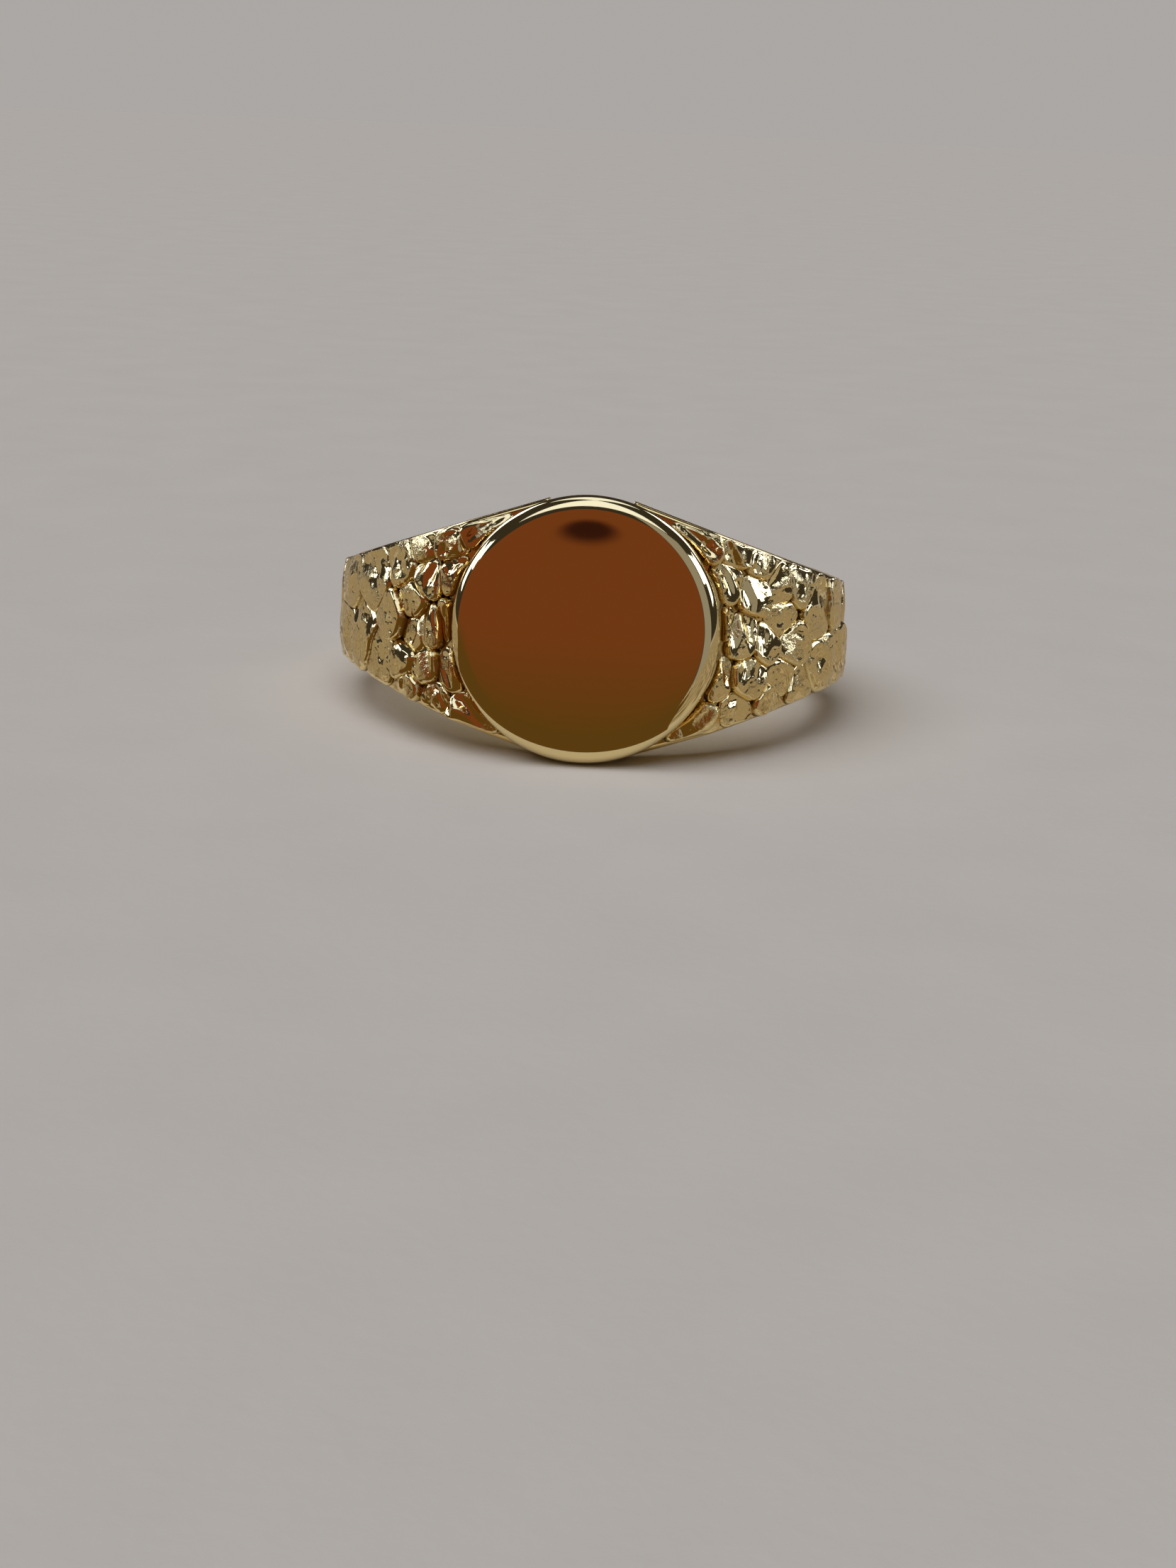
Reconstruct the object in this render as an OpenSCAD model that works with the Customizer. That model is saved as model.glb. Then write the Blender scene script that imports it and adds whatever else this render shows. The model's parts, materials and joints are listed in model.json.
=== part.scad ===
// Signet ring with a round polished face and nugget shoulders, lying on its side.
// Each piece is first drawn upright: finger bore along Z and centred on the origin, face towards -Y.
// lay_down() then tips the ring onto the edges that it rests on and puts its foot at z = 0.

/* [Finger and hoop] */
// Inside diameter, which sets the finger size
bore_d = 19; // [15:0.1:23]
// Thickness of the hoop at its back
shank_t = 1.35; // [1:0.05:2.2]
// Width of the hoop at its back
shank_w = 3.6; // [2.5:0.1:5]
// Radius of the hoop's gently domed outside, across its width
crown_r = 8; // [5:0.5:20]

/* [Face] */
// Diameter of the round face plate
face_d = 10.7; // [8:0.1:13]
// Distance from the finger to the middle of the face
face_rise = 2.3; // [2:0.05:3.2]
// Thickness of the face plate
plate_t = 1.3; // [1.1:0.05:1.6]
// Radius of the rolled edge of the face
edge_r = 0.75; // [0.3:0.05:1.05]

/* [Head] */
// Step from the plate's edge in to the collar below it
collar_step = 0.25; // [0.1:0.05:0.5]
// Wall of the collar
collar_wall = 0.9; // [0.6:0.05:1.4]
// Thickness of the sheet that closes the head against the finger
liner_t = 0.5; // [0.3:0.05:0.6]
// Thickness of each solder seam
seam_t = 0.05; // [0.03:0.01:0.1]

/* [Shoulders] */
// Thickness of a shoulder at the widest point of the ring, under its nuggets
shoulder_t = 1.33; // [1.1:0.01:2]
// Width of a shoulder at the widest point of the ring
side_w = 4.3; // [3.7:0.1:6]
// How far the shoulders stand out beyond the plate where they pass beside it
ledge_w = 0.1; // [0.1:0.05:0.5]
// Drop from the plate's underside to the ledge that the shoulders make round the head
ledge_drop = 0.15; // [0.05:0.05:0.3]
// Angle past the widest point at which the shoulders meet the shank
shank_joint = 12; // [6:1:25]

/* [Nuggets] */
// Height of a nugget above its shoulder
nugget_h = 0.42; // [0.25:0.01:0.6]
// How much the nuggets differ in height
nugget_vary = 0.1; // [0:0.01:0.15]
// Degrees between one nugget's height and the next one's, on a wave that varies them
nugget_phase = 137; // [100:1:170]
// Radius of a nugget's domed top
dome_r = 4.2; // [3:0.1:9]
// Crease between two nuggets
crease = 0.1; // [0.06:0.01:0.25]
// Furthest that a nugget reaches along or across the shoulder from its middle
nugget_reach = 2.4; // [1.8:0.1:3]
// Plain band left along a shoulder's edge
edge_band = 0.1; // [0.05:0.05:0.4]
// Gap between the nuggets and the plate's edge
groove = 0.15; // [0.05:0.05:0.4]

/* [Hidden] */
$fn = 360;
bore_r = bore_d / 2;
face_r = face_d / 2;
face_y = bore_r + face_rise;
plate_y = face_y - plate_t;
collar_r = face_r - collar_step;
joint_r = collar_r + seam_t;
ledge_y = plate_y - seam_t - ledge_drop;
tall = face_d;

// A shoulder's outside is an arc. It is upright at the widest point and reaches the ledge at the collar.
side_x = bore_r + shoulder_t;
arc_r = (pow(side_x - joint_r, 2) + pow(ledge_y, 2)) / (2 * (side_x - joint_r));
arc_x = side_x - arc_r;
seam_turn = asin(seam_t / side_x);
// Past this angle the ledge is clear of the arc at every size
ledge_end = 80;

// Seen from the front, a shoulder's edge is the straight line from the ring's side to the head.
ledge_r = face_r + ledge_w;
side_reach = norm([side_x, side_w / 2]);
touch_turn = atan2(side_w / 2, side_x) + acos(ledge_r / side_reach);
touch_x = ledge_r * cos(touch_turn);
touch_z = ledge_r * sin(touch_turn);
edge_slope = (touch_z - side_w / 2) / (side_x - touch_x);

// The ring rests on the shoulders' inner edges beside the head and on the edge of the shank's back.
front_y = -sqrt(pow(bore_r, 2) - pow(touch_x, 2));
crown_drop = crown_r - sqrt(pow(crown_r, 2) - pow(shank_w / 2, 2));
back_y = bore_r + shank_t - crown_drop;
tilt = atan2(touch_z - shank_w / 2, back_y - front_y);
foot_z = -back_y * sin(tilt) - shank_w / 2 * cos(tilt);
head_front = -face_y * cos(tilt) - (face_r - edge_r) * sin(tilt);
edge_front = -(face_y - edge_r) * cos(tilt) - (face_r - edge_r) * sin(tilt) - edge_r;
crown_back = (bore_r + shank_t) * cos(tilt);
edge_back = back_y * cos(tilt) + shank_w / 2 * sin(tilt);
mid_y = (min(head_front, edge_front) + max(crown_back, edge_back)) / 2;

// Middle of each nugget: its place along the shoulder, from 0 at the plate's edge to 1 at the ring's side,
// and its place across the shoulder, from -1 at the lower edge to 1 at the upper edge.
LEFT_MIDDLES = [
    [0.11, 0.88], [0.17, 0.82], [0.04, 0.48], [0.14, 0.48], [0.28, 0.86], [0.32, 0.70], [0.17, 0.20],
    [0.44, 0.50], [-0.01, 0], [0.08, -0.06], [0.17, -0.18], [0.27, -0.02], [0.52, -0.30],
    [0.70, 0.50], [0.72, -0.35], [0.05, -0.50], [0.16, -0.55], [0.27, -0.54], [0.40, -0.58],
    [0.33, -0.87], [0.22, -0.84], [0.14, -0.90], [0.93, 0.35], [0.95, -0.45]
];
RIGHT_MIDDLES = [
    [0.13, 0.88], [0.22, 0.90], [0.07, 0.54], [0.17, 0.48], [0.30, 0.85], [0.31, 0.62], [0.45, 0.76],
    [-0.03, 0.10], [0.08, 0], [0.19, -0.10], [0.26, 0.20], [0.32, -0.14], [0.49, 0.36],
    [0.02, -0.45], [0.17, -0.50], [0.33, -0.55], [0.55, -0.50], [0.14, -0.88], [0.23, -0.86],
    [0.36, -0.86], [0.49, -0.82], [0.73, 0.48], [0.74, -0.25], [0.95, 0.40], [0.97, -0.40]
];
CORNERS = [[-1, -1], [1, -1], [1, 1], [-1, 1]];
GOLD = [0.86, 0.64, 0.24];
PALE_GOLD = [0.93, 0.74, 0.36];
SOLDER = [0.72, 0.52, 0.22];

function nugget_name(side, i) = str(side, "_nugget_", i < 9 ? "0" : "", i + 1);

// Half the width of a shoulder at an angle round it
function half_width(turn) = touch_z - edge_slope * (arc_x + arc_r * sin(min(turn, 90)) - touch_x);

// Distance from the arc's centre to the shoulder's outside, which the ledge cuts off near the head
function shoulder_reach(turn) = min(arc_r, ledge_y / cos(min(turn, ledge_end)));

// Angle at which the nuggets begin beside the plate, at a share of the way across the shoulder
function head_turn(across) =
    asin((sqrt(pow(face_r + groove, 2) - pow(across * touch_z, 2)) - arc_x) / arc_r);

// Angle of a nugget's middle round the shoulder
function nugget_turn(middle) = head_turn(middle[1]) + middle[0] * (90 - head_turn(middle[1]));

// A nugget's middle laid out flat: distance along the arc, and height
function flat(middle) =
    let (turn = nugget_turn(middle))
    [arc_r * turn * PI / 180, middle[1] * half_width(turn)];

// The part of an outline where dot(point, way) is less than a limit
function trim(outline, way, limit) = [
    for (i = [0:len(outline) - 1])
        let (a = outline[i], b = outline[(i + 1) % len(outline)])
        let (past_a = a * way - limit, past_b = b * way - limit)
        each concat(
            past_a <= 0 ? [a] : [],
            past_a * past_b < 0 ? [a + (b - a) * past_a / (past_a - past_b)] : []
        )
];

// Trims an outline halfway to each of the other nuggets, less half a crease
function trim_to_neighbours(outline, middles, own, i = 0) =
    i == len(middles) ? outline :
    i == own ? trim_to_neighbours(outline, middles, own, i + 1) :
    let (here = flat(middles[own]), apart = flat(middles[i]) - here)
    let (way = apart / norm(apart), limit = here * way + (norm(apart) - crease) / 2)
    trim_to_neighbours(trim(outline, way, limit), middles, own, i + 1);

module lay_down() {
    translate([0, -mid_y, -foot_z])
        rotate([-tilt, 0, 0])
            children();
}

// A cylinder about the head's own axis, between two distances from the finger's centre
module head_disc(r, near, far) {
    translate([0, -near, 0])
        rotate([90, 0, 0])
            cylinder(r = r, h = far - near);
}

// Everything within a distance of the finger's centre line
module finger(r) {
    translate([0, 0, -tall])
        cylinder(r = r, h = 2 * tall);
}

// Solid under the shoulders' outside surface, on the right-hand side
module shoulder_block() {
    intersection() {
        translate([arc_x, 0, -tall])
            cylinder(r = arc_r, h = 2 * tall);
        translate([0, -ledge_y, -tall])
            cube([2 * side_x, 2 * side_x, 2 * tall]);
    }
}

// The right-hand shoulder's outline as seen from the front, all the way through, with its edges moved in
module front_outline(inset) {
    turned = atan(edge_slope);
    in_z = inset / cos(turned);
    rotate([90, 0, 0])
        linear_extrude(height = 4 * side_x, center = true)
            polygon([
                [0, 0],
                [touch_x, -touch_z + in_z],
                [side_x, -side_w / 2 + in_z],
                [2 * side_x, -side_w / 2 + in_z],
                [2 * side_x, side_w / 2 - in_z],
                [side_x, side_w / 2 - in_z],
                [touch_x, touch_z - in_z]
            ]);
}

// Everything between the face and an angle past the ring's right-hand side
module before_joint(past) {
    far = 3 * side_x;
    translate([0, 0, -tall])
        linear_extrude(height = 2 * tall)
            polygon([
                [0, 0],
                [0, -far],
                [far, -far],
                [far, 0],
                [far * cos(past), far * sin(past)]
            ]);
}

// Seen from the side, a shoulder narrows from the head to the ring's side, and then to the shank
module side_outline() {
    far = side_x * sin(shank_joint);
    half = [
        [-2 * side_x, touch_z],
        [front_y, touch_z],
        [0, side_w / 2],
        [far, shank_w / 2],
        [2 * side_x, shank_w / 2]
    ];
    rotate([90, 0, 90])
        linear_extrude(height = 2 * side_x)
            polygon(concat(half, [for (i = [len(half) - 1:-1:0]) [half[i][0], -half[i][1]]]));
}

module shoulder() {
    difference() {
        intersection() {
            shoulder_block();
            front_outline(0);
            before_joint(shank_joint);
            side_outline();
        }
        finger(bore_r);
        head_disc(joint_r, 0, 2 * face_y);
    }
}

module collar_seam() {
    difference() {
        intersection() {
            shoulder_block();
            front_outline(0);
            head_disc(joint_r, 0, 2 * face_y);
        }
        finger(bore_r);
        head_disc(collar_r, 0, 2 * face_y);
    }
}

// Domed section of the hoop, turned through part of a circle that starts at the ring's right side
module hoop_part(from, turn) {
    rotate([0, 0, from])
        rotate_extrude(angle = turn)
            intersection() {
                translate([bore_r + shank_t - crown_r, 0])
                    circle(r = crown_r);
                translate([bore_r, -shank_w / 2])
                    square([shank_t, shank_w]);
            }
}

module nugget(middles, i) {
    turn = nugget_turn(middles[i]);
    own = flat(middles[i]);
    outline = trim_to_neighbours([for (c = CORNERS) own + nugget_reach * c], middles, i);
    top = shoulder_reach(turn) + nugget_h + nugget_vary * sin(nugget_phase * i);
    difference() {
        intersection() {
            translate([arc_x, 0, 0])
                rotate([90, 0, turn]) {
                    intersection() {
                        linear_extrude(height = top + nugget_h)
                            polygon([for (p = outline) [p[0] - own[0], p[1]]]);
                        translate([0, own[1], top - dome_r])
                            rotate([0, 90, 0])
                                sphere(r = dome_r);
                    }
                }
            front_outline(edge_band);
            before_joint(shank_joint);
        }
        shoulder_block();
        head_disc(face_r + groove, 0, 2 * face_y);
    }
}

module signet_plate() {
    color(PALE_GOLD)
        lay_down()
            translate([0, -plate_y, 0])
                rotate([90, 0, 0])
                    rotate_extrude() {
                        square([face_r - edge_r, plate_t]);
                        square([face_r, plate_t - edge_r]);
                        intersection() {
                            translate([face_r - edge_r, plate_t - edge_r])
                                circle(r = edge_r);
                            square([face_r, plate_t]);
                        }
                    }
}

module head_collar() {
    color(GOLD)
        lay_down()
            difference() {
                head_disc(collar_r, 0, plate_y - seam_t);
                head_disc(collar_r - collar_wall, -face_y, face_y);
                finger(bore_r + liner_t + seam_t);
            }
}

module head_liner() {
    color(GOLD)
        lay_down()
            difference() {
                intersection() {
                    head_disc(collar_r, 0, face_y);
                    finger(bore_r + liner_t);
                }
                finger(bore_r);
            }
}

module plate_solder() {
    color(SOLDER)
        lay_down()
            difference() {
                head_disc(collar_r, plate_y - seam_t, plate_y);
                head_disc(collar_r - collar_wall, 0, face_y);
            }
}

module liner_solder() {
    color(SOLDER)
        lay_down()
            difference() {
                intersection() {
                    head_disc(collar_r, 0, face_y);
                    finger(bore_r + liner_t + seam_t);
                }
                head_disc(collar_r - collar_wall, -face_y, face_y);
                finger(bore_r + liner_t);
            }
}

module left_shoulder() {
    color(GOLD)
        lay_down()
            mirror([1, 0, 0])
                shoulder();
}

module right_shoulder() {
    color(GOLD)
        lay_down()
            shoulder();
}

module shank() {
    color(GOLD)
        lay_down()
            hoop_part(shank_joint + seam_turn, 180 - 2 * shank_joint - 2 * seam_turn);
}

module collar_solder() {
    color(SOLDER)
        lay_down()
            for (side = [0, 1])
                mirror([side, 0, 0])
                    collar_seam();
}

module shank_solder() {
    color(SOLDER)
        lay_down()
            for (side = [0, 1])
                mirror([side, 0, 0])
                    hoop_part(shank_joint, seam_turn);
}

module left_nugget(i) {
    color(PALE_GOLD)
        lay_down()
            mirror([1, 0, 0])
                nugget(LEFT_MIDDLES, i);
}

module right_nugget(i) {
    color(PALE_GOLD)
        lay_down()
            nugget(RIGHT_MIDDLES, i);
}

signet_plate();
head_collar();
head_liner();
left_shoulder();
right_shoulder();
shank();
plate_solder();
liner_solder();
collar_solder();
shank_solder();
for (i = [0:len(LEFT_MIDDLES) - 1])
    left_nugget(i);
for (i = [0:len(RIGHT_MIDDLES) - 1])
    right_nugget(i);
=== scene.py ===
# %% [markdown]
# # A signet ring with nugget shoulders
# The ring is yellow gold and lies on its side. Its round face is a flat mirror with a soft rolled edge.
# Both shoulders are covered in nuggets: flattened lumps that a goldsmith melts and solders on one by one.
# Polished metal shows nothing of its own. We see what it reflects, bent by its shape, so this lesson
# spends its effort on true, smooth, closed meshes, and then on what stands round the ring.

# %% Load the fixed model
import json
import math
import random

import bmesh
import bpy
import numpy as np
from mathutils import Matrix, Vector, noise


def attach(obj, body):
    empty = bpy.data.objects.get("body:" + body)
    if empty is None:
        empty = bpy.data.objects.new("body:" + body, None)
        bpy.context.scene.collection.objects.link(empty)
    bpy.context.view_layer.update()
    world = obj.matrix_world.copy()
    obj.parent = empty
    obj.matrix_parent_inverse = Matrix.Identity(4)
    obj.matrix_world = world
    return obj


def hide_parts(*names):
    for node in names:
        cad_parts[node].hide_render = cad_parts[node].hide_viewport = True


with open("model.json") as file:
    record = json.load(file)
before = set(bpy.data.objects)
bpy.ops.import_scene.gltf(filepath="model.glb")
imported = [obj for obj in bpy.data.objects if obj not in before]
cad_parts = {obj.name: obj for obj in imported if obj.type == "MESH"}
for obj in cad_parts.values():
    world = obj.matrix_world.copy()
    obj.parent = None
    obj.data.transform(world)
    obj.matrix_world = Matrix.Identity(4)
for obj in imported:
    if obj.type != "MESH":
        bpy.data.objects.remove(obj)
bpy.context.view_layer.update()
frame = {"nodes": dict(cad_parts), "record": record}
nodes = frame["nodes"]
left_nuggets = sorted(name for name in nodes if name.startswith("left_nugget_"))
right_nuggets = sorted(name for name in nodes if name.startswith("right_nugget_"))
print(f"{len(nodes)} fixed pieces, with {len(left_nuggets)} + {len(right_nuggets)} nuggets")

# %% [markdown]
# ## The ring's own upright frame
# The ring lies tipped on two edges, which makes every formula longer than it needs to be. A goldsmith
# turns the work until it is square to the bench, and we do the same: `upright` carries points into a
# frame where the finger hole runs along Z and the face looks towards -Y, and `laid` carries them back.
# Both come from the two mounts in the record, so they follow the model if it is tipped otherwise.

# %% Turn between the upright ring and the ring as it lies
MM = 0.001
mounts = {mount["name"]: mount for mount in frame["record"]["mounts"]}
finger = mounts["finger_bore"]
face = mounts["signet_face"]
finger_middle = np.array(finger["pos_m"])
finger_axis = np.array(finger["axis"])
face_way = np.array(face["axis"])
across = np.cross(-face_way, finger_axis)
turn_back = np.array([across, -face_way, finger_axis])


def upright(points):
    return (np.asarray(points) - finger_middle) @ turn_back.T


def laid(points):
    return np.asarray(points) @ turn_back + finger_middle


def upright_corners(name):
    return upright([vertex.co for vertex in nodes[name].data.vertices])


tip = math.degrees(math.asin(finger_axis[1]))
print(f"the ring is tipped by {tip:.1f} degrees")

# %% [markdown]
# ## Sizes, measured on the fixed model
# The ring's main sizes aren't written down again here. The bore's radius is in the record, and the others
# are read from the fixed pieces in the upright frame: the plate gives the face, and a shoulder gives the
# arc of the outside. Only the small things that the fixed pieces don't have get numbers of their own.

# %% Measure the fixed pieces
bore_r = finger["dims"]["r_mm"] * MM
face_y = -upright(face["pos_m"])[1]
plate = upright_corners("signet_plate")
face_r = plate[:, 0].max()
plate_t = np.ptp(plate[:, 1])
flat_r = plate[plate[:, 1] < 0.01 * MM - face_y][:, 0].max()
collar_r = upright_corners("head_collar")[:, 0].max()
seam_t = np.ptp(upright_corners("plate_solder")[:, 1])
shoulder = upright_corners("right_shoulder")
side_x = shoulder[:, 0].max()
ledge_y = -shoulder[:, 1].min()
shoulder_top = shoulder[shoulder[:, 2].argmax()]
side_half = shoulder[abs(shoulder[:, 1]) < 0.01 * MM][:, 2].max()
joint_turn = math.atan2(shoulder[:, 1].max(), shoulder[shoulder[:, 1].argmax()][0])
hoop = upright_corners("shank")
hoop_half = hoop[:, 2].max()
hoop_r = np.hypot(hoop[:, 0], hoop[:, 1]).max()

joint_r = collar_r + seam_t
arc_r = ((side_x - joint_r) ** 2 + ledge_y**2) / (2 * (side_x - joint_r))
arc_x = side_x - arc_r
front_y = -math.sqrt(bore_r**2 - shoulder_top[0] ** 2)
joint_y = side_x * math.sin(joint_turn)
liner_t = np.hypot(*upright_corners("head_liner")[:, :2].T).max() - bore_r
print(f"bore {2 * bore_r / MM:.1f} mm, face {2 * face_r / MM:.1f} mm, hoop {2 * hoop_half / MM:.1f} mm wide")

# %% [markdown]
# ## Making a mesh from a grid of points
# Every piece made here can be swept: the face by turning a profile, the hoop by carrying a section round
# the finger, and a nugget by spreading rings of points from its middle. So one helper is enough.
# It joins a grid of points with four-sided faces. Each end is capped with a ladder of faces between the
# two halves of its loop, because one big face would cut straight across a hollow loop. Then every face
# is turned to look outward.

# %% Mesh helper
def grid_piece(name, grid, finish):
    """A closed piece from rows of points. Each row is a loop, and the first and last rows are capped."""
    rows = len(grid)
    count = len(grid[0])
    points = [tuple(point) for row in grid for point in laid(row)]
    faces = []
    for row in range(rows - 1):
        for i in range(count):
            j = (i + 1) % count
            faces.append((row * count + i, row * count + j, (row + 1) * count + j, (row + 1) * count + i))
    last = (rows - 1) * count
    for i in range(count // 2 - 1):
        rung = (i, i + 1, count - 2 - i, count - 1 - i)
        faces.append(rung[::-1])
        faces.append(tuple(last + corner for corner in rung))
    return finished_piece(name, points, faces, finish)


def finished_piece(name, points, faces, finish):
    mesh = bpy.data.meshes.new(name)
    mesh.from_pydata(points, [], faces)
    skin = bmesh.new()
    skin.from_mesh(mesh)
    bmesh.ops.recalc_face_normals(skin, faces=skin.faces)
    skin.to_mesh(mesh)
    skin.free()
    mesh.shade_smooth()
    mesh.materials.append(finish)
    piece = bpy.data.objects.new(name, mesh)
    bpy.context.scene.collection.objects.link(piece)
    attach(piece, "root")
    return piece


print("mesh helper ready")

# %% [markdown]
# ## Shader maths that reads like maths
# A finish is a net of nodes, and a net is hard to read. `Wire` wraps one output socket, and its operators
# add Math nodes, so that `1 - mask` is a node as well as a sentence. `Finish` holds one material and makes
# any other node from its type, its settings and the values or wires of its sockets.

# %% Shader helper
class Wire:
    def __init__(self, finish, socket):
        self.finish = finish
        self.socket = socket

    def maths(self, operation, first, second):
        return self.finish.node("ShaderNodeMath", {"operation": operation}, {0: first, 1: second})

    def __add__(self, other):
        return self.maths("ADD", self, other)

    def __radd__(self, other):
        return self.maths("ADD", other, self)

    def __rsub__(self, other):
        return self.maths("SUBTRACT", other, self)

    def __mul__(self, other):
        return self.maths("MULTIPLY", self, other)


class Finish:
    def __init__(self, name):
        self.material = bpy.data.materials.new(name)
        self.material.use_nodes = True
        self.net = self.material.node_tree
        self.net.nodes.clear()
        self.place = self.node("ShaderNodeTexCoord", {}, {}, "Object")

    def node(self, kind, settings, sockets, output=0):
        node = self.net.nodes.new(kind)
        for key, value in settings.items():
            if key == "stops":
                self.set_stops(node.color_ramp, value)
            else:
                setattr(node, key, value)
        for key, value in sockets.items():
            if isinstance(value, Wire):
                self.net.links.new(value.socket, node.inputs[key])
            else:
                node.inputs[key].default_value = value
        return Wire(self, node.outputs[output]) if node.outputs else node

    def set_stops(self, ramp, stops):
        while len(ramp.elements) < len(stops):
            ramp.elements.new(1)
        for element, (position, level) in zip(ramp.elements, stops):
            element.position = position
            element.color = (level, level, level, 1)

    def grain(self, size, detail=2, stretch=(1, 1, 1)):
        """Soft noise whose lumps are about `size` metres across, from 0 to 1."""
        spread = self.node("ShaderNodeVectorMath", {"operation": "MULTIPLY"}, {0: self.place, 1: stretch})
        sockets = {"Vector": spread, "Scale": 1 / size, "Detail": detail}
        return self.node("ShaderNodeTexNoise", {}, sockets)

    def ramp(self, wire, stops):
        return self.node("ShaderNodeValToRGB", {"stops": stops}, {"Fac": wire})

    def blend(self, share, first, second):
        settings = {"data_type": "RGBA"}
        return self.node("ShaderNodeMix", settings, {0: share, 6: first, 7: second}, 2)

    def bump(self, height, depth, under=None):
        """Raises the surface by `height` times `depth` metres, over another bump if one is given."""
        sockets = {"Height": height, "Distance": depth}
        if under is not None:
            sockets["Normal"] = under
        return self.node("ShaderNodeBump", {}, sockets)

    def metal(self, colour, roughness, normal):
        sockets = {"Base Color": colour, "Metallic": 1.0, "Roughness": roughness, "Normal": normal}
        return self.output(self.node("ShaderNodeBsdfPrincipled", {}, sockets))

    def light(self, colour, strength):
        return self.output(self.node("ShaderNodeEmission", {}, {"Color": colour, "Strength": strength}))

    def output(self, shader):
        self.node("ShaderNodeOutputMaterial", {}, {"Surface": shader})
        return self.material


print("shader helper ready")

# %% [markdown]
# ## Four golds
# All four are the same yellow gold, and what sets them apart is how they were worked. The face has been
# buffed to a mirror, and only hairlines from wear are left. The hoop is polished too, but fingers and
# tables dull it in patches. A nugget's skin froze as it cooled, so it is bright but pitted and crusty.
# Its creases are painted with a dark gold, a painted shade where the skin turns down into them, and they
# are rougher as well. The solder is made a little paler and duller, so that its seams can be seen.
# A hairline is a noise stretched hard along one way: the eye reads its long thin lumps as scratches.

# %% Colours of the metal
GOLD = (0.93, 0.71, 0.30, 1)
PALE_GOLD = (0.94, 0.78, 0.41, 1)
DEEP_GOLD = (0.78, 0.52, 0.18, 1)
# Painted shade: the dark gold that is painted into the nuggets' creases.
PAINTED_CREASE_SHADE = (0.20, 0.13, 0.05, 1)
SOLDER_GOLD = (0.82, 0.66, 0.38, 1)
HAIR_BLUR = 0.03


def hairlines(finish, size, stretch, rarity):
    """Thin scratches along one way, from 0 to 1. A larger rarity leaves fewer."""
    lumps = finish.grain(size, 1, stretch)
    return finish.ramp(lumps, [(rarity, 0), (rarity + HAIR_BLUR, 1)])


print("a mask for hairlines, and five golds to blend")

# %% The mirror finish
def mirror_gold():
    finish = Finish("mirror_gold")
    cloud = finish.grain(2.5 * MM)
    colour = finish.blend(cloud * 0.25, PALE_GOLD, GOLD)
    lines = hairlines(finish, 2.5 * MM, (1, 30, 60), 0.70)
    crossed = hairlines(finish, 1.8 * MM, (40, 25, 1), 0.72)
    haze = finish.grain(1.2 * MM, 3)
    roughness = 0.03 + haze * 0.03 + lines * 0.02 + crossed * 0.02
    normal = finish.bump(lines + crossed, -0.00006 * MM)
    return finish.metal(colour, roughness, normal)


mirror = mirror_gold()
print(f"{mirror.name} ready")

# %% The hoop's finish
def worn_gold():
    finish = Finish("worn_gold")
    cloud = finish.grain(3 * MM)
    colour = finish.blend(cloud * 0.5, GOLD, DEEP_GOLD)
    lines = hairlines(finish, 1.5 * MM, (1, 1, 30), 0.66)
    patches = finish.ramp(finish.grain(1.6 * MM, 4), [(0.4, 0), (0.7, 1)])
    roughness = 0.09 + patches * 0.09 + lines * 0.05
    ripples = finish.bump(finish.grain(0.9 * MM), 0.012 * MM)
    normal = finish.bump(lines, -0.0003 * MM, ripples)
    return finish.metal(colour, roughness, normal)


worn = worn_gold()
print(f"{worn.name} ready")

# %% The nuggets' finish
def nugget_gold():
    finish = Finish("nugget_gold")
    rise = finish.node("ShaderNodeAttribute", {"attribute_name": "rise"}, {}, "Fac")
    # Painted shade: where the skin turns down into a crease, its colour turns to the dark crease gold, and
    # the crease is rougher too.
    clear_of_painted_shade = finish.ramp(rise, [(0.1, 0), (0.7, 1)])
    cloud = finish.grain(1.1 * MM)
    skin = finish.blend(cloud * 0.8, PALE_GOLD, GOLD)
    colour = finish.blend(clear_of_painted_shade, PAINTED_CREASE_SHADE, skin)
    crust = finish.grain(0.15 * MM, 4)
    crusty = finish.ramp(finish.grain(0.8 * MM), [(0.48, 0), (0.60, 1)])
    roughness = 0.08 + crusty * 0.06 + (1 - clear_of_painted_shade) * 0.25
    dimples = finish.bump(finish.grain(0.4 * MM), 0.012 * MM)
    normal = finish.bump(crust * crusty, 0.04 * MM, dimples)
    return finish.metal(colour, roughness, normal)


nuggety = nugget_gold()
print(f"{nuggety.name} ready")

# %% The solder's finish
def solder_gold():
    finish = Finish("solder_gold")
    cloud = finish.grain(0.6 * MM)
    colour = finish.blend(cloud, SOLDER_GOLD, DEEP_GOLD)
    pits = finish.grain(0.08 * MM, 3)
    roughness = 0.22 + pits * 0.2
    normal = finish.bump(pits, 0.01 * MM)
    return finish.metal(colour, roughness, normal)


solder = solder_gold()
print(f"{solder.name} ready")

# %% [markdown]
# ## The signet plate
# The face is turned like a button: one profile, spun about the head's axis. A mirror shows the smallest
# kink, so the profile runs smoothly from the flat into the rolled edge, and the spin has many steps.
# Hand polishing never leaves a true flat. So the face is crowned by about a hundredth of a millimetre, and
# just inside its edge it eases down by two hundredths more, which joins it to the roll without a kink.

# %% Spin the plate
SPIN_STEPS = 288
FLAT_STEPS = 40
ROLL_STEPS = 28
INNERMOST = 0.02
CROWN = 0.012 * MM
EASE = 0.02 * MM
EASE_POWER = 9
EASE_SLOPE = EASE_POWER * EASE / flat_r
BACK_EDGE = 0.08 * MM


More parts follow.
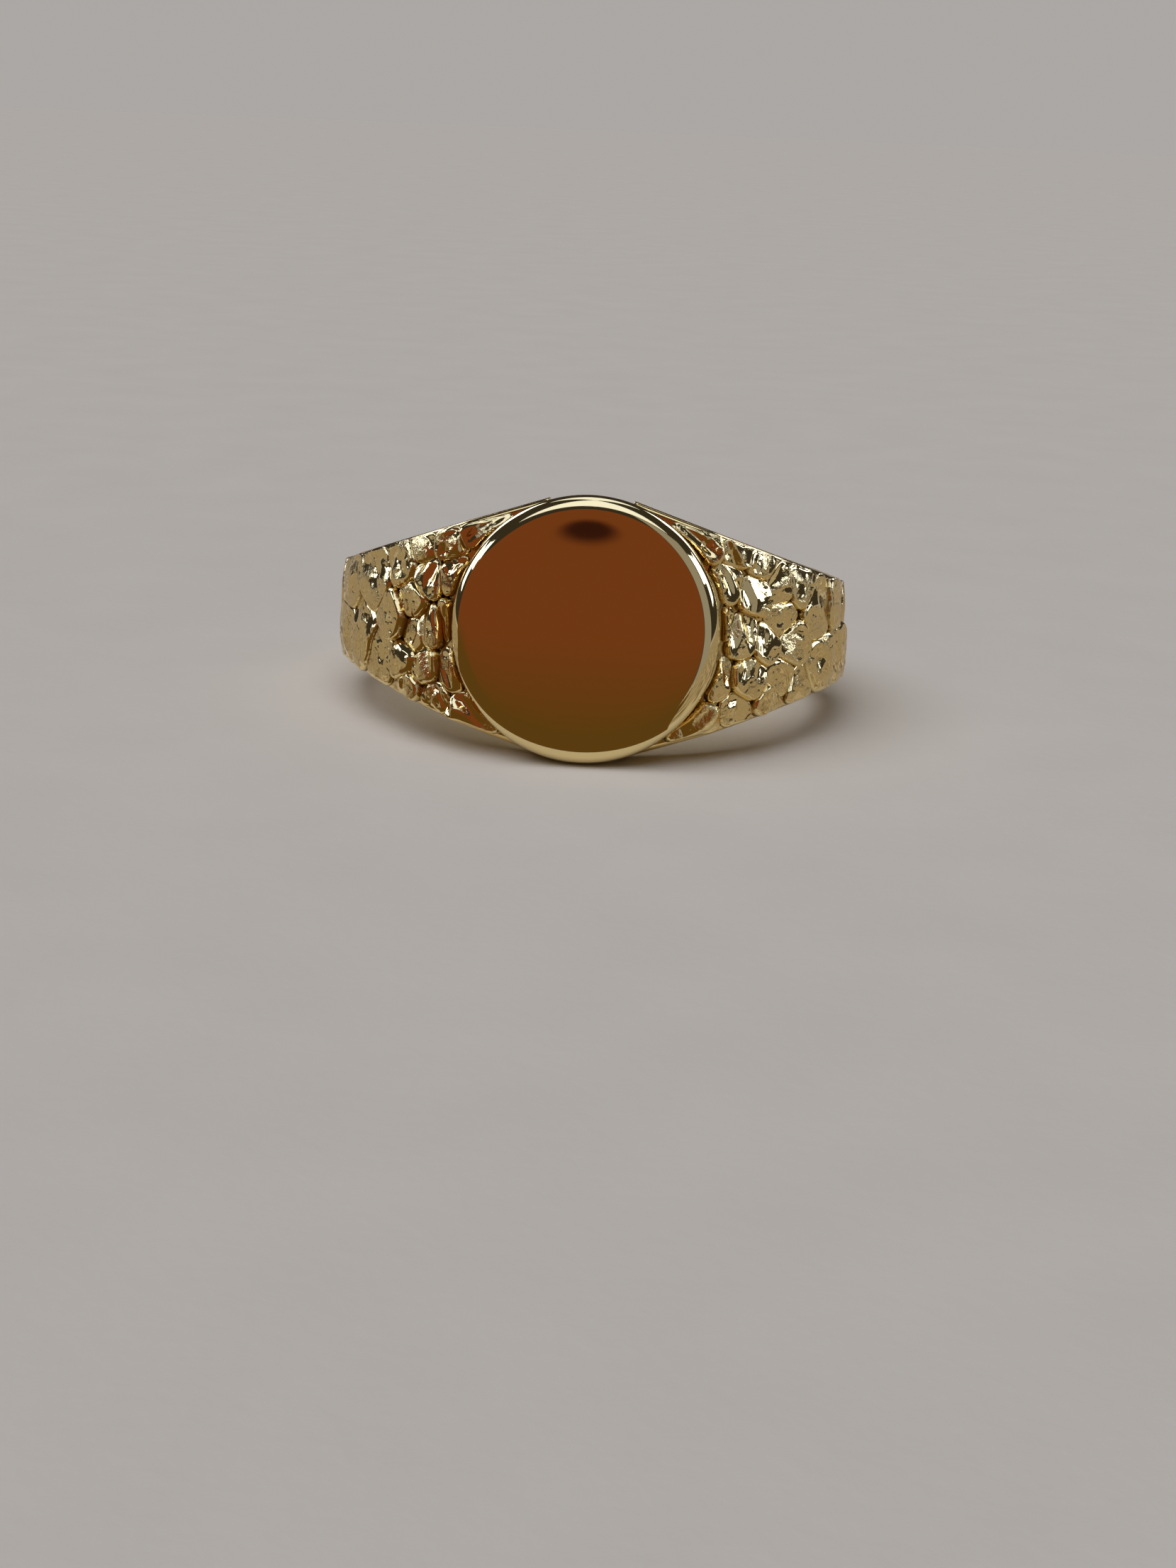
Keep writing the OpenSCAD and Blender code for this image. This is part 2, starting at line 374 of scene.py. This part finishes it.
def plate_profile():
    """Radius and depth below the face, from the middle of the face round to the middle of the back."""
    roll = face_r - flat_r
    profile = []
    for share in np.linspace(INNERMOST, 1, FLAT_STEPS):
        profile.append((flat_r * share, CROWN * share**2 + EASE * share**EASE_POWER))
    for turn in np.linspace(0, math.pi / 2, ROLL_STEPS)[1:]:
        eased = EASE_SLOPE * (1 - math.sin(turn)) * math.sin(turn) * roll
        down = (roll - CROWN - EASE) * (1 - math.cos(turn)) + eased
        profile.append((flat_r + roll * math.sin(turn), CROWN + EASE + down))
    profile.append((face_r, plate_t - BACK_EDGE))
    profile.append((face_r - BACK_EDGE, plate_t))
    profile.append((flat_r * INNERMOST, plate_t))
    return profile


def spun(profile):
    turns = np.linspace(0, 2 * math.pi, SPIN_STEPS, endpoint=False)
    rows = []
    for radius, depth in profile:
        rows.append([(radius * math.cos(t), depth - face_y, radius * math.sin(t)) for t in turns])
    return rows


plate_piece = grid_piece("face_plate", spun(plate_profile()), mirror)
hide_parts("signet_plate")
print(f"face plate with {len(plate_piece.data.polygons)} faces")

# %% [markdown]
# ## Shoulders and hoop
# On the bench these are strips, filed to a taper and bent round a mandrel, so we sweep one section round
# the finger and let its width and thickness follow formulas. The same section serves the shoulders, the
# hoop and the solder between them, so that they line up. The solder is a hair smaller, as a seam sinks a
# little. The section is a rectangle with rounded edges, because a filed edge is rubbed round.

# %% The strip's thickness and width
# Past this turn from the face, the ledge round the head is clear of the strip's outside.
LEDGE_END = math.radians(80)


def smooth(value, low, high):
    share = min(max((value - low) / (high - low), 0), 1)
    return share * share * (3 - 2 * share)


def outside(turn):
    """Distance from the finger's middle to the strip's outside, at a turn from the face."""
    side = math.pi / 2 + joint_turn
    if turn > side:
        return hoop_r
    arc = arc_x * math.sin(turn) + math.sqrt(arc_r**2 - (arc_x * math.cos(turn)) ** 2)
    ledge = ledge_y / math.cos(min(turn, LEDGE_END))
    return min(arc, ledge)


def half_width(x, y):
    """Half the strip's width where it passes a point in the upright plan."""
    from_front = np.interp(x, [shoulder_top[0], side_x], [shoulder_top[2], side_half])
    from_side = np.interp(y, [front_y, 0, joint_y], [shoulder_top[2], side_half, hoop_half])
    return min(from_front, from_side)


print(f"the strip is {(outside(math.pi / 2) - bore_r) / MM:.2f} mm thick at the side")

# %% The strip's section at each turn
OUTER_EDGE = 0.22 * MM
INNER_EDGE = 0.14 * MM
EDGE_STEPS = 6
FACE_STEPS = 14
# The hoop's domed outside fades in between these two turns from the face.
CROWN_FROM = math.radians(82)
CROWN_TO = math.radians(112)
crown_drop = hoop_r - np.hypot(hoop[:, 0], hoop[:, 1])[abs(hoop[:, 2]) > hoop_half - 0.01 * MM].max()


def section(turn, shrink=0.0):
    """Points round the strip at one turn, each as its distance from the finger's middle and its height."""
    inner = bore_r + shrink
    outer = outside(turn) - shrink
    drop = crown_drop * smooth(turn, CROWN_FROM, CROWN_TO)
    upper = {"outer": [], "inner": []}
    for a in np.linspace(0, math.pi / 2, EDGE_STEPS):
        for part, reach, edge in (("outer", outer - drop, OUTER_EDGE), ("inner", inner, -INNER_EDGE)):
            distance = reach - edge * (1 - math.sin(a))
            wide = half_width(distance * math.sin(turn), -distance * math.cos(turn))
            upper[part].append((distance, wide - abs(edge) * (1 - math.cos(a)) - shrink))
    loop = []
    for part, rise in (("outer", drop), ("inner", 0)):
        distance, height = upper[part][-1]
        shares = np.linspace(1, -1, FACE_STEPS)[1:-1]
        across = [(distance + rise * (1 - share**2), height * share) for share in shares]
        side = upper[part] + across + [(d, -h) for d, h in upper[part][::-1]]
        loop += side if part == "outer" else side[::-1]
    return loop


print(f"{len(section(math.pi))} points round the section, and the hoop's dome is {crown_drop / MM:.2f} mm")

# %% Sweep the shoulders from the collar to the joint
SHOULDER_STEPS = 90
SETTLE_STEPS = 4


def collar_turn(distance, height):
    """Turn at which the strip starts: on the collar, or on the middle line above and below it."""
    by_collar = math.sqrt(max(joint_r**2 - height**2, 0))
    by_middle = shoulder_top[0] * abs(height) / shoulder_top[2]
    return math.asin(max(by_collar, by_middle) / distance)


def shoulder_rows(side):
    """Rows of one arm. A point's turn and its distance depend on each other, so a few rounds settle both."""
    end = math.pi / 2 + joint_turn
    start_loop = section(math.asin(joint_r / ledge_y))
    rows = []
    for step in range(SHOULDER_STEPS + 1):
        share = step / SHOULDER_STEPS
        row = []
        for i in range(len(start_loop)):
            distance, height = start_loop[i]
            for _ in range(SETTLE_STEPS):
                first = collar_turn(distance, height)
                turn = first + share * (end - first)
                distance, height = section(turn)[i]
            row.append((side * distance * math.sin(turn), -distance * math.cos(turn), height))
        rows.append(row)
    return rows


for name, side in (("left_shoulder", -1), ("right_shoulder", 1)):
    arm = grid_piece(name.replace("shoulder", "arm"), shoulder_rows(side), worn)
    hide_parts(name)
    print(f"{arm.name} with {len(arm.data.polygons)} faces")

# %% Sweep the hoop and the solder in its two joints
HOOP_STEPS = 150
seam_turn = math.asin(seam_t / side_x)
SEAM_SINK = 0.006 * MM


def swept_rows(first, last, steps, shrink=0.0):
    rows = []
    for turn in np.linspace(first, last, steps):
        loop = section(min(turn, 2 * math.pi - turn), shrink)
        rows.append([(r * math.sin(turn), -r * math.cos(turn), height) for r, height in loop])
    return rows


hoop_from = math.pi / 2 + joint_turn + seam_turn
hoop_piece = grid_piece(
    "hoop_back", swept_rows(hoop_from, 2 * math.pi - hoop_from, HOOP_STEPS), worn
)
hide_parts("shank")
print(f"{hoop_piece.name} with {len(hoop_piece.data.polygons)} faces")

hoop_joints = {"right_hoop_joint": hoop_from - seam_turn, "left_hoop_joint": 2 * math.pi - hoop_from}
for name, first in hoop_joints.items():
    joint = grid_piece(name, swept_rows(first, first + seam_turn, 2, SEAM_SINK), solder)
    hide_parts("shank_solder")
print("two soldered joints in the hoop")

# %% [markdown]
# ## The sheet inside the head
# The head is hollow, and a curved sheet closes it against the finger. It is a disc cut from a cylinder, so
# we spread rings of points over its inside, and come back over its outside.

# %% Spread the sheet
SHEET_STEPS = 180
SHEET_RINGS = 12


def sheet_rows():
    turns = np.linspace(0, 2 * math.pi, SHEET_STEPS, endpoint=False)
    outward = np.linspace(INNERMOST, 1, SHEET_RINGS) * (collar_r - SEAM_SINK)
    rows = []
    for reach, radii in ((bore_r, outward), (bore_r + liner_t, outward[::-1])):
        for radius in radii:
            row = [(radius * math.cos(t), radius * math.sin(t)) for t in turns]
            rows.append([(x, -math.sqrt(reach**2 - x**2), height) for x, height in row])
    return rows


sheet = grid_piece("head_sheet", sheet_rows(), worn)
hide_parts("head_liner")
print(f"{sheet.name} with {len(sheet.data.polygons)} faces")

# %% [markdown]
# ## The nuggets
# Each nugget is a lump of scrap that is melted until it slumps, then pressed flat and soldered beside its
# neighbours. We could displace one plain band with noise, but noise has no seams: real nuggets have their
# own edges, heights and tilts, and they shade each other. So every nugget is its own mesh here.
# Its outline comes from the fixed nugget, unrolled from the shoulder like a label from a jar. Rings of
# points spread from its middle to the outline, and the surface over them is a slumped top with a rolled
# edge. Most tops lean so that their lower end stands highest. What would rise past the top's height is
# pressed flat, some lumps have a pit, and all of them fall towards the strip's upper and lower edges.
# Beside the head the tops also carry faint ridges that follow the plate.

# %% Unroll a fixed nugget
RAYS = 72


def unrolled(points, side):
    """Points on a shoulder as distance along its arc, height up the finger, and rise above the arc."""
    x = side * points[:, 0] - arc_x
    y = points[:, 1]
    turn = np.arctan2(x, -y)
    rise = np.hypot(x, y) - arc_r
    return np.column_stack([arc_r * turn, points[:, 2], rise])


def skin_rise(along):
    """Rise of the shoulder's own outside over the arc, which is below zero on the ledge."""
    turn = along / arc_r
    return min(arc_r, ledge_y / math.cos(min(turn, LEDGE_END))) - arc_r


def rolled(along, height, rise, side):
    turn = along / arc_r
    reach = arc_r + rise
    return (side * (arc_x + reach * math.sin(turn)), -reach * math.cos(turn), height)


def from_plate(along, height):
    """Distance from the plate's middle line, as seen from the front."""
    return math.hypot(arc_x + arc_r * math.sin(along / arc_r), height)


# %% Find a nugget's outline
OVERLAP = 0.08 * MM
STRIP_EDGE = 0.07 * MM
RAY_STEPS = 60
PARALLEL = 1e-12


def hull(points):
    """The outer outline of flat points, in order round them."""
    ordered = sorted(map(tuple, points))
    chains = []
    for run in (ordered, ordered[::-1]):
        chain = []
        for p in run:
            while len(chain) > 1 and cross(chain[-2], chain[-1], p) <= 0:
                chain.pop()
            chain.append(p)
        chains.append(chain[:-1])
    return np.array(chains[0] + chains[1])


def cross(a, b, c):
    return (b[0] - a[0]) * (c[1] - a[1]) - (b[1] - a[1]) * (c[0] - a[0])


def on_strip(along, height, clear_r):
    """Whether a spot is clear of the plate, and of the strip's upper and lower edges."""
    turn = along / arc_r
    limit = half_width(arc_x + arc_r * math.sin(turn), -arc_r * math.cos(turn)) - STRIP_EDGE
    return from_plate(along, height) > clear_r and abs(height) < limit


def ray_length(middle, way, outline, clear_r):
    """How far a ray runs from the middle before it is well past the outline or leaves the strip."""
    reach = math.inf
    for a, b in zip(outline, np.roll(outline, -1, axis=0)):
        edge = b - a
        facing = way[0] * edge[1] - way[1] * edge[0]
        if abs(facing) < PARALLEL:
            continue
        gap = a - middle
        run = (gap[0] * edge[1] - gap[1] * edge[0]) / facing
        if run > 0:
            reach = min(reach, run)
    reach += OVERLAP
    for run in np.linspace(0, reach, RAY_STEPS)[1:]:
        if not on_strip(*(middle + run * way), clear_r):
            return run
    return reach


print("outline helpers ready")

# %% Round an outline, press a top and let an edge fall
ROUNDING = 7
MOST_GROWTH = 1.02
PRESS = 0.06 * MM
EDGE_FALL = 0.14 * MM
FALL_FROM = 0.45
FALL_TO = 1.05


def rounded(lengths):
    """Rounds an outline's corners: each ray takes the mean of its neighbours, and hardly grows."""
    softened = lengths.copy()
    for _ in range(ROUNDING):
        softened = (np.roll(softened, 1) + softened + np.roll(softened, -1)) / 3
    return np.minimum(softened, lengths * MOST_GROWTH)


def pressed(rise, limit):
    """Presses a rise flat where it would pass the limit, with a soft bend between the two."""
    blend = min(max(0.5 + (rise - limit) / (2 * PRESS), 0), 1)
    return rise + (limit - rise) * blend - PRESS * blend * (1 - blend)


def edge_fall(along, height):
    """How much lower a nugget's skin is as it comes near the strip's upper or lower edge."""
    turn = along / arc_r
    half = half_width(arc_x + arc_r * math.sin(turn), -arc_r * math.cos(turn))
    return EDGE_FALL * smooth(abs(height) / half, FALL_FROM, FALL_TO)


print(f"a lump falls by up to {EDGE_FALL / MM:.2f} mm at the strip's edges")

# %% Choose how one lump froze
PLATE_GAP = 0.12 * MM
# The lump's height at its middle, as a share of where it is pressed flat
FULLNESS = 0.94
LEAN_SPREAD = math.radians(65)
LEAN_RISE = 0.28 * MM
RIDGED_WITHIN = 1.9 * MM
PIT_SIZE = 0.22 * MM
PIT_LENGTHENED = 0.6
# The dice choose from these. Losses, slumps, soft edges and pits are in millimetres.
TOP_LOSSES = (0, 0.1)
LEAN_SHARES = (0.3, 1.0)
SLUMPS = (0.02, 0.09)
SOFT_EDGES = (0.12, 0.24)
PIT_PLACES = (-0.4, 0.4)
PIT_DEPTHS = (0, 0, 0, 0.10, 0.16)
RIDGE_SHARES = (0.6, 1.0)
SEEDS = (0, 90)
# A wave is its strength, and how many lumps of noise fit in a millimetre.
BROAD_WAVE = (0.13, 0.9)
FINE_WAVE = (0.025, 2.2)
PIT_WOBBLE = (0.8, 2.5)
# Height and spacing of the ridges, and where they fade as they leave the plate's edge, in millimetres.
RIDGE_HEIGHT = 0.08
RIDGE_GAP = 0.62
RIDGE_FADE = (1.2, 2.4)


class Lump:
    """One nugget's outline, and the height of its skin over the shoulder."""

    def __init__(self, name, side, dice):
        flat = unrolled(upright_corners(name), side)
        self.side = side
        self.middle = flat[:, :2].mean(axis=0)
        turns = np.linspace(0, 2 * math.pi, RAYS, endpoint=False)
        self.ways = np.column_stack([np.cos(turns), np.sin(turns)])
        outline = hull(flat[:, :2])
        clear_r = face_r + PLATE_GAP
        lengths = [ray_length(self.middle, way, outline, clear_r) for way in self.ways]
        self.lengths = rounded(np.array(lengths))
        self.freeze(flat[:, 2].max() - skin_rise(self.middle[0]), dice)

    def freeze(self, highest, dice):
        size = self.lengths.mean()
        self.top = highest - dice.uniform(*TOP_LOSSES) * MM
        self.lean = dice.gauss(-math.pi / 2, LEAN_SPREAD)
        self.steep = dice.uniform(*LEAN_SHARES) * LEAN_RISE / size
        self.slump = dice.uniform(*SLUMPS) * MM
        self.soft = dice.uniform(*SOFT_EDGES) * MM
        self.pit = self.middle + np.array([dice.uniform(*PIT_PLACES) for _ in range(2)]) * size
        self.pit_depth = dice.choice(PIT_DEPTHS) * MM
        beside_plate = from_plate(*self.middle) < face_r + RIDGED_WITHIN
        self.ridged = dice.uniform(*RIDGE_SHARES) if beside_plate else 0.0
        self.seed = Vector([dice.uniform(*SEEDS) for _ in range(3)])

    def wave(self, spot, wave):
        return wave[0] * noise.noise(spot * wave[1] + self.seed)

    def ridge(self, along, height):
        out = (from_plate(along, height) - face_r) / MM
        swing = math.sin(2 * math.pi * out / RIDGE_GAP)
        return RIDGE_HEIGHT * self.ridged * swing * (1 - smooth(out, *RIDGE_FADE))

    def dip(self, along, height, spot):
        away = math.hypot(along - self.pit[0], (height - self.pit[1]) * PIT_LENGTHENED) / PIT_SIZE
        away *= 1 + self.wave(spot, PIT_WOBBLE)
        return self.pit_depth * math.exp(-(away**2))

    def height_at(self, along, height, share):
        """Height of the skin at a spot, which lies at a share of the way from the middle to the outline."""
        spot = Vector((along, height, 0)) / MM
        ahead = (along - self.middle[0]) * math.cos(self.lean)
        above = (height - self.middle[1]) * math.sin(self.lean)
        uneven = self.wave(spot, BROAD_WAVE) + self.wave(spot, FINE_WAVE) + self.ridge(along, height)
        rise = self.top * FULLNESS + (ahead + above) * self.steep - self.slump * share**2 + uneven * MM
        return pressed(rise, self.top) - edge_fall(along, height) - self.dip(along, height, spot)


print(f"{PIT_DEPTHS.count(0)} of {len(PIT_DEPTHS)} throws of the dice give a lump with no pit")

# %% Sculpt one lump from rings of points
RING_SHARES = np.linspace(0.04, 1, 13)
EDGE_TURNS = np.linspace(math.pi / 2, 0, 10)
SKIRT = 0.12 * MM
LEAST_RISE = 0.1 * MM
WIDEST_ROLL = 0.45


def skin_point(lump, way, reach, share, fullness):
    spot = lump.middle + way * reach
    rise = max(lump.height_at(*spot, share), LEAST_RISE) * fullness
    return rolled(*spot, skin_rise(spot[0]) + rise, lump.side)


def lump_rows(lump):
    """Rings over the top, round the rolled edge and down to a skirt, with how far each point's skin is out
    of its crease, which sets the painted crease shade.
    """
    rays = list(zip(lump.ways, lump.lengths, np.minimum(lump.soft, lump.lengths * WIDEST_ROLL)))
    rows = []
    rises = []
    for share in RING_SHARES:
        row = []
        for way, length, roll in rays:
            row.append(skin_point(lump, way, (length - roll) * share, share * (1 - roll / length), 1))
        rows.append(row)
        rises += [1.0] * RAYS
    for turn in EDGE_TURNS[1:]:
        row = []
        for way, length, roll in rays:
            row.append(skin_point(lump, way, length - roll * (1 - math.cos(turn)), 1, math.sin(turn)))
        rows.append(row)
        rises += [math.sin(turn)] * RAYS
    foot = [lump.middle + way * length for way, length, _ in rays]
    rows.append([rolled(*spot, skin_rise(spot[0]) - SKIRT, lump.side) for spot in foot])
    rises += [0.0] * RAYS
    return rows, rises


def add_nugget(name, side, dice):
    rows, rises = lump_rows(Lump(name, side, dice))
    piece = grid_piece(name.replace("nugget", "lump"), rows, nuggety)
    attribute = piece.data.attributes.new("rise", "FLOAT", "POINT")
    attribute.data.foreach_set("value", rises)
    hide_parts(name)
    return piece


print(f"{len(RING_SHARES) + len(EDGE_TURNS)} rings of {RAYS} points make a lump")

# %% Lay the nuggets on both shoulders
dice = random.Random(7)
for names, side in ((left_nuggets, -1), (right_nuggets, 1)):
    lumps = [add_nugget(name, side, dice) for name in names]
    print(f"{len(lumps)} nuggets, {sum(len(lump.data.polygons) for lump in lumps)} faces")

# %% [markdown]
# ## What stays as it was drawn
# The collar and the seams round it are plain tubes, and their fixed shapes are already right. They only
# need their finish.

# %% Finish the fixed pieces that stay
for name, finish in (
    ("head_collar", worn),
    ("plate_solder", solder),
    ("liner_solder", solder),
    ("collar_solder", solder),
):
    nodes[name].data.materials.clear()
    nodes[name].data.materials.append(finish)
    print(f"{name} takes {finish.name}")

# %% [markdown]
# ## The floor
# The ring lies on a wide pale floor, with a plain wall far behind it. A cloth would be truer to a jeweller's
# table, but a plain floor keeps the eye on the ring. Its faint mottle stops it from reading as empty space.
# Close to the ring it is mostly for the camera and for the shadow, because the gold sees the mats of the
# next step instead.

# %% A thing that stands round the ring
ROUND_STEPS = 96
ROUND = np.linspace(0, 2 * math.pi, ROUND_STEPS, endpoint=False)


def staged(name, points, faces, finish, unseen_by):
    """A thing that isn't part of the ring, and the kinds of ray that pass it by."""
    mesh = bpy.data.meshes.new(name)
    mesh.from_pydata(points, [], faces)
    mesh.materials.append(finish)
    thing = bpy.data.objects.new(name, mesh)
    bpy.context.scene.collection.objects.link(thing)
    for ray in unseen_by:
        setattr(thing, f"visible_{ray}", False)
    return thing


print("stage helper ready")

# %% Lay the floor and stand the wall
FLOOR_R = 1.1


def floor_finish():
    finish = Finish("pale_floor")
    mottle = finish.grain(6 * MM, 4)
    colour = finish.blend(mottle, (0.74, 0.70, 0.67, 1), (0.80, 0.76, 0.73, 1))
    normal = finish.bump(finish.grain(0.6 * MM, 3), 0.02 * MM)
    sockets = {"Base Color": colour, "Roughness": 0.8, "Specular IOR Level": 0.0, "Normal": normal}
    return finish.output(finish.node("ShaderNodeBsdfPrincipled", {}, sockets))


def glow(name, colour, strength):
    return Finish(name).light(colour, strength)


def ring_of_points(radius, height):
    return [(radius * math.cos(t), radius * math.sin(t), height) for t in ROUND]


floor = staged("floor", ring_of_points(FLOOR_R, 0), [tuple(range(ROUND_STEPS))], floor_finish(), ())
wall_points = ring_of_points(FLOOR_R, 0) + ring_of_points(FLOOR_R, FLOOR_R)
wall_faces = []
for i in range(ROUND_STEPS):
    j = (i + 1) % ROUND_STEPS
    wall_faces.append((i, j, ROUND_STEPS + j, ROUND_STEPS + i))
wall_glow = glow("pale_wall", (0.41, 0.39, 0.375, 1), 1.0)
backdrop = staged("backdrop", wall_points, wall_faces, wall_glow, ("glossy", "diffuse", "shadow"))
print(f"{floor.name} and {backdrop.name} stand {FLOOR_R} m out")

# %% [markdown]
# ## The room that the gold reflects
# A mirror face can't be lit: it shows whatever stands in front of it. In a plain white room it would turn
# white and flat. So a room of cards stands round the ring, and only the gold's reflections see them.
# A brown screen in front and a brown mat at its foot fill the face, with a dark spot where the camera would
# show. A grey screen stands to the right of them, for the rim.
# The nuggets want small bright lights with dark room between them, because each lump then picks up one
# sharp light and one deep shade. Six white lights stand round them, two pale ceilings light what looks up,
# and a streaky warm mat lies round the rest of the ring.

# %% Bend a screen
SCREEN_COLUMNS = 24


def at(elevation, distance):
    """A row of a screen as its distance along the floor and its height."""
    return distance * math.cos(math.radians(elevation)), distance * math.sin(math.radians(elevation))


def screen(name, sides, rows, finish):
    """A curved sheet between two azimuths, seen only in the gold. Azimuth 0 is in front of the face."""
    turns = np.radians(np.linspace(sides[0], sides[1], SCREEN_COLUMNS))
    points = [(reach * math.sin(t), -reach * math.cos(t), height) for reach, height in rows for t in turns]
    faces = []
    for row in range(len(rows) - 1):
        for i in range(SCREEN_COLUMNS - 1):
            first = row * SCREEN_COLUMNS + i
            faces.append((first, first + 1, first + 1 + SCREEN_COLUMNS, first + SCREEN_COLUMNS))
    return staged(name, points, faces, finish, ("camera", "diffuse", "shadow"))


print(f"a screen bends in {SCREEN_COLUMNS - 1} steps")

# %% Colour the warm mat and the brown screen
OLIVE_BROWN = (0.095, 0.052, 0.012, 1)
RED_BROWN = (0.155, 0.047, 0.016, 1)
SPOT_BROWN = (0.028, 0.008, 0.006, 1)
BROWN_FADE = 12 * MM
SPOT = (-1.5 * MM, -50 * MM, 16.7 * MM)
SPOT_R = 2.5 * MM
SPOT_SQUAT = (1, 1, 1.4)
SPOT_SHIFT = tuple(-place * squat for place, squat in zip(SPOT, SPOT_SQUAT))


def mat_glow():
    """A dim glow with long streaks, for what faces down."""
    finish = Finish("mat_glow")
    streaks = finish.ramp(finish.grain(3 * MM, 3, (1, 2.5, 1)), [(0.36, 0), (0.62, 1)])
    colour = finish.blend(streaks, (0.13, 0.10, 0.07, 1), (0.48, 0.41, 0.33, 1))
    return finish.light(colour, 1.0)


def brown_glow():
    """Brown that turns olive near the floor, with a dark spot in it."""
    finish = Finish("brown_glow")
    height = finish.node("ShaderNodeSeparateXYZ", {}, {0: finish.place}, 2)
    low = finish.ramp(height * (1 / BROWN_FADE), [(0.2, 0), (0.8, 1)])
    brown = finish.blend(low, OLIVE_BROWN, RED_BROWN)
    squat = {0: finish.place, 1: SPOT_SQUAT, 2: SPOT_SHIFT}
    from_spot = finish.node("ShaderNodeVectorMath", {"operation": "MULTIPLY_ADD"}, squat)
    distance = finish.node("ShaderNodeVectorMath", {"operation": "LENGTH"}, {0: from_spot}, 1)
    spot = finish.ramp(distance * (1 / SPOT_R), [(0.55, 0), (1.0, 1)])
    return finish.light(finish.blend(spot, SPOT_BROWN, brown), 1.1)


brown = brown_glow()
grey = glow("grey_glow", (1.0, 1.0, 1.08, 1), 0.28)
pale = glow("pale_glow", (0.9, 1.0, 1.3, 1), 1.1)
white = glow("white_glow", (0.9, 1.0, 1.3, 1), 3.0)
print("glows:", ", ".join(material.name for material in (brown, grey, pale, white)))

# %% Stand the screens round the ring
FAR = 400 * MM
MAT_HEIGHT = 0.15 * MM
BROWN_ROWS = [(50 * MM, 0.1 * MM), (50 * MM, 30 * MM)]
GREY_ROWS = [at(-7, 80 * MM), at(44, 80 * MM)]
BROWN_MAT = (12.9 * MM, 51 * MM)
WARM_MAT = (14 * MM, 150 * MM)
CEILING = (46, 58, 70, 89)
CEILING_BACK = (60, 70, 89)
# Each light's azimuth, and the elevations of its foot and its top, in degrees.
LIGHTS = ((-70, 24, 38), (-98, 12, 34), (72, 24, 38), (96, 12, 36), (-140, 20, 46), (140, 20, 46))
LIGHT_HALF = 11

screen("brown_screen", (-60, 13), BROWN_ROWS, brown)
screen("brown_mat", (-60, 22), [(reach, MAT_HEIGHT) for reach in BROWN_MAT], brown)
screen("warm_mat", (22, 300), [(reach, MAT_HEIGHT) for reach in WARM_MAT], mat_glow())
screen("grey_screen", (14, 50), GREY_ROWS, grey)
screen("pale_ceiling", (-45, 45), [at(level, FAR) for level in CEILING], pale)
screen("pale_ceiling_back", (135, 225), [at(level, FAR) for level in CEILING_BACK], pale)
for azimuth, low, high in LIGHTS:
    sides = (azimuth - LIGHT_HALF, azimuth + LIGHT_HALF)
    screen(f"light_{azimuth % 360}", sides, [at(low, FAR), at(high, FAR)], white)
print(f"2 screens, 2 mats, 2 ceilings and {len(LIGHTS)} lights stand round the ring")

# %% Light the floor
daylight = bpy.data.lights.new("daylight", "SUN")
daylight.energy = 1.75
daylight.angle = math.radians(70)
daylight_lamp = bpy.data.objects.new("daylight", daylight)
bpy.context.scene.collection.objects.link(daylight_lamp)
daylight_lamp.visible_glossy = False
daylight_lamp.rotation_euler = (math.radians(20), math.radians(-15), 0)

DIM_ROOM = (0.035, 0.03, 0.025, 1)
world = bpy.data.worlds.new("room")
bpy.context.scene.world = world
world.use_nodes = True
world.node_tree.nodes["Background"].inputs["Color"].default_value = DIM_ROOM
bpy.context.scene.view_settings.view_transform = "Standard"
print("daylight and room ready")

# %% [markdown]
# ## The camera
# The camera stands close in front of the ring, a little to its right, and looks down on it. A close
# camera makes the face look large against the shoulders behind it, so its distance matters as much as
# its angle. A hand never holds a camera quite level, hence the roll.

# %% Set up the camera
CAMERA_AZIMUTH = math.radians(2.1)
CAMERA_ELEVATION = math.radians(13)
CAMERA_DISTANCE = 94 * MM
LOOK_LEFT = math.radians(1.862)
LOOK_DOWN = math.radians(16.692)
CAMERA_ROLL = math.radians(2.4)
# Lens length as a share of the frame's longer side
LENS_SHARE = 1.5109

lens = bpy.data.cameras.new("camera")
lens.sensor_width = 36
lens.lens = LENS_SHARE * lens.sensor_width
lens.clip_start = 1 * MM
camera = bpy.data.objects.new("camera", lens)
bpy.context.scene.collection.objects.link(camera)
away = Vector((
    math.sin(CAMERA_AZIMUTH) * math.cos(CAMERA_ELEVATION),
    -math.cos(CAMERA_AZIMUTH) * math.cos(CAMERA_ELEVATION),
    math.sin(CAMERA_ELEVATION),
))
camera.location = Vector(face["pos_m"]) + away * CAMERA_DISTANCE
turned = Matrix.Rotation(LOOK_LEFT, 3, "Z") @ Matrix.Rotation(math.pi / 2 - LOOK_DOWN, 3, "X")
camera.rotation_euler = (turned @ Matrix.Rotation(CAMERA_ROLL, 3, "Z")).to_euler()
bpy.context.scene.camera = camera
print(f"camera {CAMERA_DISTANCE / MM:.0f} mm from the face")
